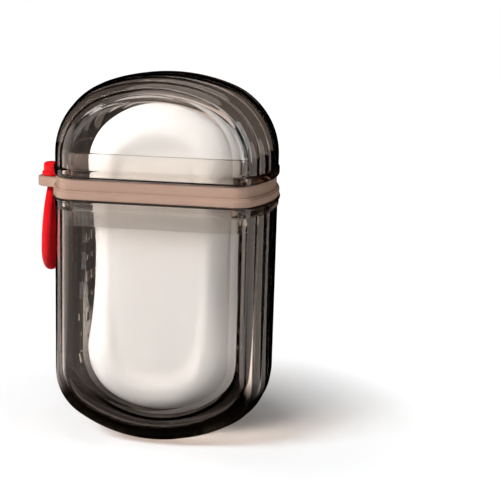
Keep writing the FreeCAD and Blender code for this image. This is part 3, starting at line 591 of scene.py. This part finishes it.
def troughBody(name, inward):
    # follows the bar's arches, full width in front and rounded in towards the back
    back, corner = tray["back"] - inward, tray["backRound"] - inward
    grow = tray["barGap"] + tray["wall"] - inward
    arch, turn = bar["arch"] + grow, bar["round"] + grow
    whole = dict(half=tray["troughHalf"] + grow, top=tray["collarHigh"], bottom=bar["low"] - grow,
                 topArch=arch, bottomArch=arch, topRound=turn, bottomRound=turn)
    turns = [quarter(corner, degrees) for degrees in np.linspace(0, 90, tray["backSteps"])]
    rows = [(tray["troughFront"], 0.0)] + [(back - rise, pull) for rise, pull in turns]
    rows.append((back, corner + tray["backCap"]))
    return closedMesh(name, [upright(capsuleLoop(**shrunk(whole, inset))[0], station)
                             for station, inset in rows])


def frontEdge():
    # everything of the cage lies behind this S-shaped edge
    low, high = tray["front"], tray["front"] + tray["step"]
    top, back, wide = tray["collarLow"] + tray["wall"], tray["cutBack"], beyond["side"]
    line = [(low, tray["cutLow"])]
    for t in np.linspace(0, 1, tray["stepSteps"]):
        line.append((low + (high - low) * (0.5 - 0.5 * math.cos(math.pi * t)),
                     tray["stepLow"] + (tray["stepHigh"] - tray["stepLow"]) * t))
    line += [(high, top), (back, top), (back, tray["cutLow"])]
    return closedMesh("frontEdge", [np.array([(x, y, z) for y, z in line]) for x in (-wide, wide)])


def slotTree():
    # rows of square cutters: every second one is small
    tree = newTree("slots", {
        "Rows": "Int", "Row step": "Vector", "Start": "Vector", "Steps": "Int", "Rise": "Float",
        "Slot": "Float", "Small slot": "Float", "Along": "Vector"})
    source = treeNode(tree, "NodeGroupInput")
    rows = treeNode(tree, "GeometryNodeMeshLine")
    tree.links.new(source.outputs["Rows"], rows.inputs["Count"])
    tree.links.new(source.outputs["Start"], rows.inputs["Start Location"])
    tree.links.new(source.outputs["Row step"], rows.inputs["Offset"])
    column = treeNode(tree, "GeometryNodeMeshLine")
    rise = treeNode(tree, "ShaderNodeCombineXYZ")
    tree.links.new(source.outputs["Rise"], rise.inputs["Z"])
    tree.links.new(source.outputs["Steps"], column.inputs["Count"])
    tree.links.new(rise.outputs[0], column.inputs["Offset"])
    spread = treeNode(tree, "GeometryNodeInstanceOnPoints")
    tree.links.new(rows.outputs[0], spread.inputs["Points"])
    tree.links.new(column.outputs[0], spread.inputs["Instance"])
    flat = treeNode(tree, "GeometryNodeRealizeInstances")
    tree.links.new(spread.outputs[0], flat.inputs[0])
    index = treeNode(tree, "GeometryNodeInputIndex")
    step = mathNode(tree, "MODULO", index.outputs[0], source.outputs["Steps"])
    small = mathNode(tree, "MODULO", step, 2.0)
    gain = mathNode(tree, "SUBTRACT", source.outputs["Small slot"], source.outputs["Slot"])
    side = mathNode(tree, "ADD", source.outputs["Slot"], mathNode(tree, "MULTIPLY", small, gain))
    scale = treeNode(tree, "ShaderNodeVectorMath", operation="ADD")
    square = treeNode(tree, "ShaderNodeCombineXYZ")
    for axis in "XYZ":
        tree.links.new(side, square.inputs[axis])
    tree.links.new(square.outputs[0], scale.inputs[0])
    tree.links.new(source.outputs["Along"], scale.inputs[1])
    cube = treeNode(tree, "GeometryNodeMeshCube")
    cut = treeNode(tree, "GeometryNodeInstanceOnPoints")
    tree.links.new(flat.outputs[0], cut.inputs["Points"])
    tree.links.new(cube.outputs[0], cut.inputs["Instance"])
    tree.links.new(scale.outputs[0], cut.inputs["Scale"])
    closeTree(tree, cut.outputs[0], source)
    return tree


def slotCutters(name, rows, rowStep, start, along):
    holder = bpy.data.objects.new(name, bpy.data.meshes.new(name))
    scene.collection.objects.link(holder)
    rowStep, start, along = ([value * mm for value in place] for place in (rowStep, start, along))
    return grown(holder, slotTree(), {
        "Rows": rows, "Row step": rowStep, "Start": start, "Steps": tray["slotSteps"],
        "Rise": tray["slotPitch"] / 2 * mm, "Slot": tray["slot"] * mm,
        "Small slot": tray["smallSlot"] * mm, "Along": along, "Material": trayPlastic})


def drainTray():
    body = troughBody("drainTray", 0.0)
    ledge = closedMesh("ledge", [planLoop(innerPlan(tray["collarGap"]), height)
                                 for height in (tray["collarLow"], tray["collarLow"] + tray["wall"])])
    joined(body, ledge, "UNION")
    joined(body, frontEdge(), "INTERSECT")
    joined(body, troughBody("trough", tray["wall"]), "DIFFERENCE")
    ends = roundedEnds(tray["collarLow"], tray["collarHigh"], tray["collarRound"])
    outer = [planLoop(innerPlan(tray["collarGap"] + pull), height) for height, pull in ends]
    inner = [planLoop(innerPlan(tray["collarGap"] + tray["collarWall"] - pull), height)
             for height, pull in ends[::-1]]
    joined(body, closedMesh("collar", outer + inner, hollow=True), "UNION")
    row, column, low = tray["slotRow"], tray["slotColumn"], tray["slotLow"]
    side = slotCutters("sideSlots", tray["sideRows"], (0, row, 0), (0, -row, low), (tray["sideCut"], 0, 0))
    joined(body, side, "DIFFERENCE")
    back = slotCutters("backSlots", tray["backRows"], (column, 0, 0),
                       (-2 * column, tray["backAt"], low), (0, tray["backCut"], 0))
    joined(body, back, "DIFFERENCE")
    return smoothed(body, tray["sharpAngle"])


trayPiece = drainTray()
finishPiece(trayPiece, "drain_tray", "tray", trayPlastic)
print("tray done")


# Soap bar: a padded waisted bar with a shallow oval dish in front

def barLoop():
    # two arches joined by sides that pull in to a waist
    half, turn = bar["halfWidth"], bar["round"]
    crown, lean = archArcs(half, bar["arch"], turn)
    low, high = bar["low"] + bar["arch"], bar["high"] - bar["arch"]
    reach = (high - low) / 2
    flare = reach ** 2 / (2 * bar["waist"])
    slant = math.asin(reach / (flare + turn))
    sideX = half - turn + (flare + turn) * math.cos(slant)
    middle = (low + high) / 2
    points, outward = [], []

    def arc(x, z, radius, begin, end, steps, sign=1):
        angle = np.linspace(begin, end, steps, endpoint=False)
        way = np.c_[np.cos(angle), np.sin(angle)]
        points.append(np.array([x, z]) + radius * way)
        outward.append(sign * way)

    long, short = bar["archSteps"], bar["turnSteps"]
    arc(sideX, middle, flare, math.pi + slant, math.pi - slant, long, -1)
    arc(half - turn, high, turn, -slant, lean, short)
    arc(0, bar["high"] - crown, crown, lean, math.pi - lean, long)
    arc(turn - half, high, turn, math.pi - lean, math.pi + slant, short)
    arc(-sideX, middle, flare, slant, -slant, long, -1)
    arc(turn - half, low, turn, math.pi - slant, math.pi + lean, short)
    arc(0, bar["low"] + crown, crown, math.pi + lean, 2 * math.pi - lean, long)
    arc(half - turn, low, turn, 2 * math.pi - lean, 2 * math.pi + slant, short)
    return np.vstack(points), np.vstack(outward)


def soapBar():
    points, outward = barLoop()
    centre = np.array([0, (bar["low"] + bar["high"]) / 2])
    edge, half = bar["edge"], bar["thick"] / 2
    front, back = bar["middle"] - half, bar["middle"] + half

    def dish(loop):
        # a blunt oval, flat in the middle
        sideways, upwards = bar["dishPowers"]
        away = (abs(loop[:, 0] / (bar["dishWidth"] / 2)) ** sideways
                + abs((loop[:, 1] - centre[1]) / (bar["dishHeight"] / 2)) ** upwards)
        share = np.clip((1 - away) / bar["dishRim"], 0, 1)
        return bar["dishDepth"] * share * share * (3 - 2 * share)

    loops = []
    shrinks = np.linspace(bar["faceMiddle"], 1, bar["faceSteps"])
    turns = [quarter(edge, degrees) for degrees in np.linspace(0, 90, bar["edgeSteps"])]
    rim = points - outward * edge
    for share in shrinks[:-1]:
        loop = centre + (rim - centre) * share
        loops.append(np.c_[loop[:, 0], front + dish(loop), loop[:, 1]])
    for rise, pull in turns[::-1]:
        loop = points - outward * pull
        loops.append(np.c_[loop[:, 0], front + rise + dish(loop), loop[:, 1]])
    for rise, pull in turns:
        loops.append(upright(points - outward * pull, back - rise))
    for share in shrinks[-2::-1]:
        loops.append(upright(centre + (rim - centre) * share, back))
    return smoothed(closedMesh("soapBar", loops), bar["sharpAngle"])


soapPiece = soapBar()
finishPiece(soapPiece, "soap_bar", "tray", soapMaterial)
print("soap done")


# Sealing ring with its lug

ring = {
    "low": 82.45, "bandTop": 84.8, "beadTop": 85.3, "lugTop": 85.7, "high": 89.05,
    "bandProud": 0.5, "beadProud": 0.1, "recess": 0.5, "edge": 0.35, "beadEdge": 0.12, "topEdge": 0.25,
    "boreGap": 0.05, "pegX": -40.0, "lugRound": 4.5, "lugRoot": 7.0, "rootX": -34.2, "lugSteps": 30,
    "pegBore": 1.05, "boreSpan": (70.0, 95.0), "boreSteps": 40, "sharpAngle": 40,
}


def sealingRing():
    edge, upper = ring["edge"], len(roundTurns)  # a rounded end's rows from upper on are its top edge
    outer = [(height, ring["bandProud"] - pull)
             for height, pull in roundedEnds(ring["low"], ring["bandTop"], edge)]
    outer += [(height, ring["beadProud"] - pull)
              for height, pull in roundedEnds(ring["bandTop"], ring["beadTop"], ring["beadEdge"])[upper:]]
    outer += [(ring["beadTop"], -ring["recess"])]
    outer += [(height, -ring["recess"] - pull)
              for height, pull in roundedEnds(ring["beadTop"], ring["high"], ring["topEdge"])[upper:]]
    bore = innerPlan(tray["collarGap"] - ring["boreGap"])
    loops = [planLoop(planShape(proud), height) for height, proud in outer]
    loops += [planLoop(bore, height) for height in (ring["high"], ring["low"])]
    body = closedMesh("sealingRing", loops, hollow=True)
    rows = []
    for height, pull in roundedEnds(ring["low"], ring["lugTop"], edge):
        tip, root = ring["lugRound"] - pull, ring["lugRoot"] - pull
        lean = math.atan2(root - tip, ring["rootX"] - ring["pegX"])
        turn = np.linspace(math.pi / 2 + lean, 3 * math.pi / 2 - lean, ring["lugSteps"])
        arc = [(ring["pegX"] + tip * math.cos(t), tip * math.sin(t)) for t in turn]
        line = [(ring["rootX"], -root), (ring["rootX"], root)] + arc
        rows.append(np.array([(x, y, height) for x, y in line]))
    joined(body, closedMesh("lug", rows), "UNION")
    turn = np.linspace(0, 2 * math.pi, ring["boreSteps"], endpoint=False)
    hole = [np.array([(ring["pegX"] + ring["pegBore"] * math.cos(t), ring["pegBore"] * math.sin(t), height)
                      for t in turn]) for height in ring["boreSpan"]]
    joined(body, closedMesh("pegHole", hole), "DIFFERENCE")
    return smoothed(body, ring["sharpAngle"])


ringPiece = sealingRing()
finishPiece(ringPiece, "sealing_ring", "tray", ringRubber)
print("ring done")


# Pull tag: head and stem turned about the peg axis, leaf-shaped disc below

tag = {
    "x": -40.0, "low": 53.25, "top": 82.4, "radius": 8.5, "thick": 3.0, "edge": 1.3, "neck": 1.3,
    "stem": 1.0, "stemSunk": 1.5, "flange": 3.25, "flangeLow": 85.75, "flangeEdge": 0.35,
    "headLow": 87.25, "head": 2.75, "headTop": 90.35, "headRound": 1.2, "tipRadius": 0.02,
    "discSteps": 40, "sweepSteps": 24, "edgeSteps": 15, "headSteps": 10, "turnSteps": 48,
    "sharpAngle": 40,
}


def leafLoop():
    # outline in the YZ plane with outward directions
    middle = tag["low"] + tag["radius"]
    rise, sideways = tag["top"] - middle, tag["radius"] - tag["neck"]
    curve = (sideways ** 2 + rise ** 2) / (2 * sideways)
    offset = curve - tag["radius"]
    lean = math.asin(rise / curve)
    points, outward = [], []

    def arc(y, radius, begin, end, steps, last=False):
        angle = np.linspace(begin, end, steps, endpoint=last)
        way = np.c_[np.cos(angle), np.sin(angle)]
        points.append(np.array([y, middle]) + radius * way)
        outward.append(way)

    arc(0, tag["radius"], math.pi, 2 * math.pi, tag["discSteps"])
    arc(-offset, curve, 0, lean, tag["sweepSteps"], True)
    arc(offset, curve, math.pi - lean, math.pi, tag["sweepSteps"])
    return np.vstack(points), np.vstack(outward)


def pullTag():
    points, outward = leafLoop()
    loops = []
    half, edge = tag["thick"] / 2, tag["edge"]
    for t in np.linspace(90, -90, tag["edgeSteps"]):
        turn = math.radians(t)
        pull = edge * (1 - math.cos(turn))
        x = tag["x"] + math.copysign(half - edge, turn) + edge * math.sin(turn) if t else tag["x"]
        loop = points - outward * pull
        loops.append(np.c_[np.full(len(loop), x), loop[:, 0], loop[:, 1]])
    leaf = closedMesh("pullTag", loops)
    foot = tag["top"] - tag["stemSunk"]
    profile = [(tag["tipRadius"], foot), (tag["stem"], foot), (tag["stem"], tag["flangeLow"])]
    profile += [(tag["flange"] - pull, height)
                for height, pull in roundedEnds(tag["flangeLow"], tag["headLow"], tag["flangeEdge"])]
    profile += [(tag["head"], tag["headLow"])]
    for degrees in np.linspace(0, 90, tag["headSteps"]):
        rise, pull = quarter(tag["headRound"], degrees)
        profile.append((tag["head"] - pull, tag["headTop"] - rise))
    profile.append((tag["tipRadius"], tag["headTop"]))
    turns = np.linspace(0, 2 * math.pi, tag["turnSteps"], endpoint=False)
    rows = [np.array([(tag["x"] + radius * math.cos(t), radius * math.sin(t), height) for t in turns])
            for radius, height in profile]
    joined(leaf, closedMesh("peg", rows), "UNION")
    return smoothed(leaf, tag["sharpAngle"])


tagPiece = pullTag()
finishPiece(tagPiece, "pull_tag", "tag", tagRubber)
print("tag done")


# Stage: pale floor, studio light and camera

stage = {
    # the floor and what the camera sees of it; glow is the plain white that starts away from the part
    "floorSize": 4.0, "floorDrop": 0.0002, "floorColour": (0.79, 0.768, 0.76), "floorNoise": (14.0, 3.0, 0.5),
    "floorLift": 1.012, "floorRough": 0.6, "floorShine": 0.2,
    "glowFrom": 0.042, "glowTo": 0.1, "floorGlow": 1.05, "seen": 1.0, "ambient": 0.09,
    # what is seen through the shells: a bright lane and backdrop behind the part, dark elsewhere
    "backdrop": 1.0, "backdropFrom": 0.90, "backdropTo": 0.97, "dark": 0.15,
    "laneCentre": 0.07, "laneHalf": 0.15, "laneSoft": 0.06, "laneFrom": 0.09, "laneTurn": 0.2,
    "depths": (1.0, 0.34, 0.12), "backColour": (1.0, 0.87, 0.76),
    # what the shells reflect: light boxes left, right and above, and a dim veil low at the left
    "boxes": 1.8, "boxColour": (1.0, 0.895, 0.82), "leftBox": (-0.97, -0.94), "rightBox": (0.955, 0.97),
    "topBox": (0.885, 0.91), "veil": (-0.42, -0.12), "veilShare": 0.46, "veilHeight": (0.0, 0.3),
    "veilBack": (0.1, 0.45), "footShade": (0.05, 0.11),
}
white = (1, 1, 1)


def softBoxes(tree, sideways, veilRoom):
    # strength of the boxes left and right, by how far sideways a ray goes, and of the veil
    left = ranged(tree, sideways, 1, 0, *stage["leftBox"])
    right = ranged(tree, sideways, 0, 1, *stage["rightBox"])
    veil = ranged(tree, sideways, stage["veilShare"], 0, *stage["veil"])
    veil = mathNode(tree, "MULTIPLY", veil, veilRoom)
    return mathNode(tree, "ADD", mathNode(tree, "MAXIMUM", left, veil), right)


def studioTint(tree, rays, through):
    # warm boxes for glossy rays; through the shells, from the dark sides' colour to the backdrop's
    warm = mixed(tree, through, stage["depths"], stage["backColour"])
    clear = mixed(tree, rays["Is Transmission Ray"], white, warm)
    return mixed(tree, rays["Is Glossy Ray"], clear, stage["boxColour"])


def floorMaterial():
    # the camera sees it lit near the part and plain white further out; reflections and the
    # shells see the studio in it
    material, tree, shader, out = newMaterial("floorMaterial")
    grain = objectNoise(tree, *stage["floorNoise"])
    lifted = [min(1, value * stage["floorLift"]) for value in stage["floorColour"]]
    tone = mixed(tree, ranged(tree, grain, 0, 1, *noiseSpan), stage["floorColour"], lifted)
    tree.links.new(tone, shader.inputs["Base Color"])
    shader.inputs["Roughness"].default_value = stage["floorRough"]
    shader.inputs["Specular IOR Level"].default_value = stage["floorShine"]
    rays = treeNode(tree, "ShaderNodeLightPath").outputs
    seen, glossy, clear = (rays[f"Is {kind} Ray"] for kind in ("Camera", "Glossy", "Transmission"))
    place = treeNode(tree, "ShaderNodeTexCoord").outputs["Object"]
    split = treeNode(tree, "ShaderNodeSeparateXYZ")
    tree.links.new(place, split.inputs[0])
    x, y = split.outputs["X"], split.outputs["Y"]
    sideways = mathNode(tree, "ADD", x, mathNode(tree, "MULTIPLY", y, stage["laneTurn"]))
    sideways = mathNode(tree, "ADD", sideways, stage["laneCentre"])
    lane = ranged(tree, mathNode(tree, "ABSOLUTE", sideways), 1, 0, stage["laneHalf"] - stage["laneSoft"],
                  stage["laneHalf"] + stage["laneSoft"])
    behind = ranged(tree, y, 0, 1, stage["laneFrom"], stage["laneFrom"] + stage["laneSoft"])
    through = mathNode(tree, "ADD", mathNode(tree, "MULTIPLY", lane, behind), stage["dark"])
    length = treeNode(tree, "ShaderNodeVectorMath", operation="LENGTH")
    tree.links.new(place, length.inputs[0])
    away = length.outputs["Value"]
    back = ranged(tree, mathNode(tree, "DIVIDE", y, away), 1, 0, *stage["veilBack"])
    boxes = softBoxes(tree, mathNode(tree, "DIVIDE", x, away), back)
    boxes = mathNode(tree, "MULTIPLY", boxes, ranged(tree, away, 0, 1, *stage["footShade"]))
    boxes = mathNode(tree, "MULTIPLY", boxes, stage["boxes"])
    strength = mixed(tree, glossy, through, boxes, "FLOAT")
    strength = mixed(tree, seen, strength, stage["floorGlow"], "FLOAT")
    glow = treeNode(tree, "ShaderNodeEmission")
    tree.links.new(studioTint(tree, rays, through), glow.inputs["Color"])
    tree.links.new(strength, glow.inputs["Strength"])
    far = ranged(tree, away, 0, 1, stage["glowFrom"], stage["glowTo"])
    share = mathNode(tree, "MAXIMUM", mathNode(tree, "MULTIPLY", seen, far),
                     mathNode(tree, "MAXIMUM", clear, glossy))
    both = treeNode(tree, "ShaderNodeMixShader")
    tree.links.new(share, both.inputs["Fac"])
    tree.links.new(shader.outputs["BSDF"], both.inputs[1])
    tree.links.new(glow.outputs[0], both.inputs[2])
    tree.links.new(both.outputs[0], out.inputs["Surface"])
    return material


def paleFloor():
    size = stage["floorSize"] / 2
    corners = [(-size, -size, 0), (size, -size, 0), (size, size, 0), (-size, size, 0)]
    mesh = bpy.data.meshes.new("paleFloor")
    mesh.from_pydata(corners, [], [(0, 1, 2, 3)])
    mesh.materials.append(floorMaterial())
    floor = bpy.data.objects.new("paleFloor", mesh)
    scene.collection.objects.link(floor)
    floor.location.z = -stage["floorDrop"]


def studioWorld():
    # white for the camera, light boxes for glossy rays, the backdrop for rays through the
    # shells, and a low even light for the rest
    world = bpy.data.worlds.new("studio")
    scene.world = world
    world.use_nodes = True
    tree = world.node_tree
    tree.nodes.clear()
    rays = treeNode(tree, "ShaderNodeLightPath").outputs
    split = treeNode(tree, "ShaderNodeSeparateXYZ")
    tree.links.new(treeNode(tree, "ShaderNodeTexCoord").outputs["Generated"], split.inputs[0])
    x, y, z = split.outputs
    backdrop = ranged(tree, y, stage["dark"], stage["backdrop"], stage["backdropFrom"], stage["backdropTo"])
    above = ranged(tree, z, 0, 1, *stage["topBox"])
    low = mathNode(tree, "MULTIPLY", ranged(tree, z, 1, 0, *stage["veilHeight"]),
                   ranged(tree, y, 1, 0, *stage["veilBack"]))
    boxes = mathNode(tree, "MULTIPLY", mathNode(tree, "ADD", softBoxes(tree, x, low), above), stage["boxes"])
    strength = mixed(tree, rays["Is Glossy Ray"], stage["ambient"], boxes, "FLOAT")
    strength = mixed(tree, rays["Is Transmission Ray"], strength, backdrop, "FLOAT")
    light = treeNode(tree, "ShaderNodeBackground")
    tree.links.new(studioTint(tree, rays, backdrop), light.inputs["Color"])
    tree.links.new(strength, light.inputs["Strength"])
    seen = treeNode(tree, "ShaderNodeBackground")
    seen.inputs["Color"].default_value = (*white, 1)
    seen.inputs["Strength"].default_value = stage["seen"]
    either = treeNode(tree, "ShaderNodeMixShader")
    tree.links.new(rays["Is Camera Ray"], either.inputs["Fac"])
    tree.links.new(light.outputs[0], either.inputs[1])
    tree.links.new(seen.outputs[0], either.inputs[2])
    out = treeNode(tree, "ShaderNodeOutputWorld")
    tree.links.new(either.outputs[0], out.inputs["Surface"])


paleFloor()
studioWorld()
lamps = {
    "key": {"at": (-0.62, -0.66, 0.72), "size": (0.4, 0.4), "watts": 20.8},
    "front": {"at": (-0.42, -0.95, 0.22), "size": (0.6, 0.35), "watts": 1.8},
    "side": {"at": (0.8, -0.25, 0.35), "size": (0.25, 0.7), "watts": 2.4},
    "top": {"at": (-0.1, 0.1, 0.95), "size": (0.7, 0.6), "watts": 1.3},
}
lampColour = (0.94, 0.98, 1.0)
lampAim = Vector((0, 0, 0.06))
for lampName, lamp in lamps.items():
    light = bpy.data.lights.new(lampName, "AREA")
    light.shape = "RECTANGLE"
    light.size, light.size_y = lamp["size"]
    light.energy = lamp["watts"]
    light.color = lampColour
    item = bpy.data.objects.new(lampName, light)
    scene.collection.objects.link(item)
    item.visible_glossy = lampName == "side"  # only this lamp shows in reflections
    item.location = lamp["at"]
    item.rotation_euler = (lampAim - Vector(lamp["at"])).to_track_quat("-Z", "Y").to_euler()

view = {
    "azimuth": 11.457, "elevation": 12.278, "roll": 0.879, "distance": 0.40815, "focal": 1204.4,
    "middle": (167.126, 254.581), "target": (0, 0, 0.061), "frame": 500,
    "sensor": 36.0, "clip": (0.01, 20.0),
}


def photoCamera():
    # stands at the photograph's angle; the object's middle falls on its pixel without lens shift
    azimuth, elevation, roll = (math.radians(view[key]) for key in ("azimuth", "elevation", "roll"))
    away = Vector((math.sin(azimuth) * math.cos(elevation), -math.cos(azimuth) * math.cos(elevation),
                   math.sin(elevation)))
    forward, right = -away, Vector((math.cos(azimuth), math.sin(azimuth), 0))
    up = right.cross(forward)
    across = math.atan((view["frame"] / 2 - view["middle"][0]) / view["focal"])
    lift = math.atan((view["middle"][1] - view["frame"] / 2) / view["focal"])
    forward, right = (forward * math.cos(across) + right * math.sin(across),
                      right * math.cos(across) - forward * math.sin(across))
    forward, up = (forward * math.cos(lift) + up * math.sin(lift),
                   up * math.cos(lift) - forward * math.sin(lift))
    right, up = (right * math.cos(roll) + up * math.sin(roll),
                 up * math.cos(roll) - right * math.sin(roll))
    lens = bpy.data.cameras.new("photoCamera")
    lens.sensor_width = view["sensor"]
    lens.lens = view["focal"] * view["sensor"] / view["frame"]
    lens.clip_start, lens.clip_end = view["clip"]
    camera = bpy.data.objects.new("photoCamera", lens)
    scene.collection.objects.link(camera)
    turn = Matrix((right, up, -forward)).transposed().to_4x4()
    camera.matrix_world = Matrix.Translation(Vector(view["target"]) + away * view["distance"]) @ turn
    scene.camera = camera


photoCamera()
print("stage done")
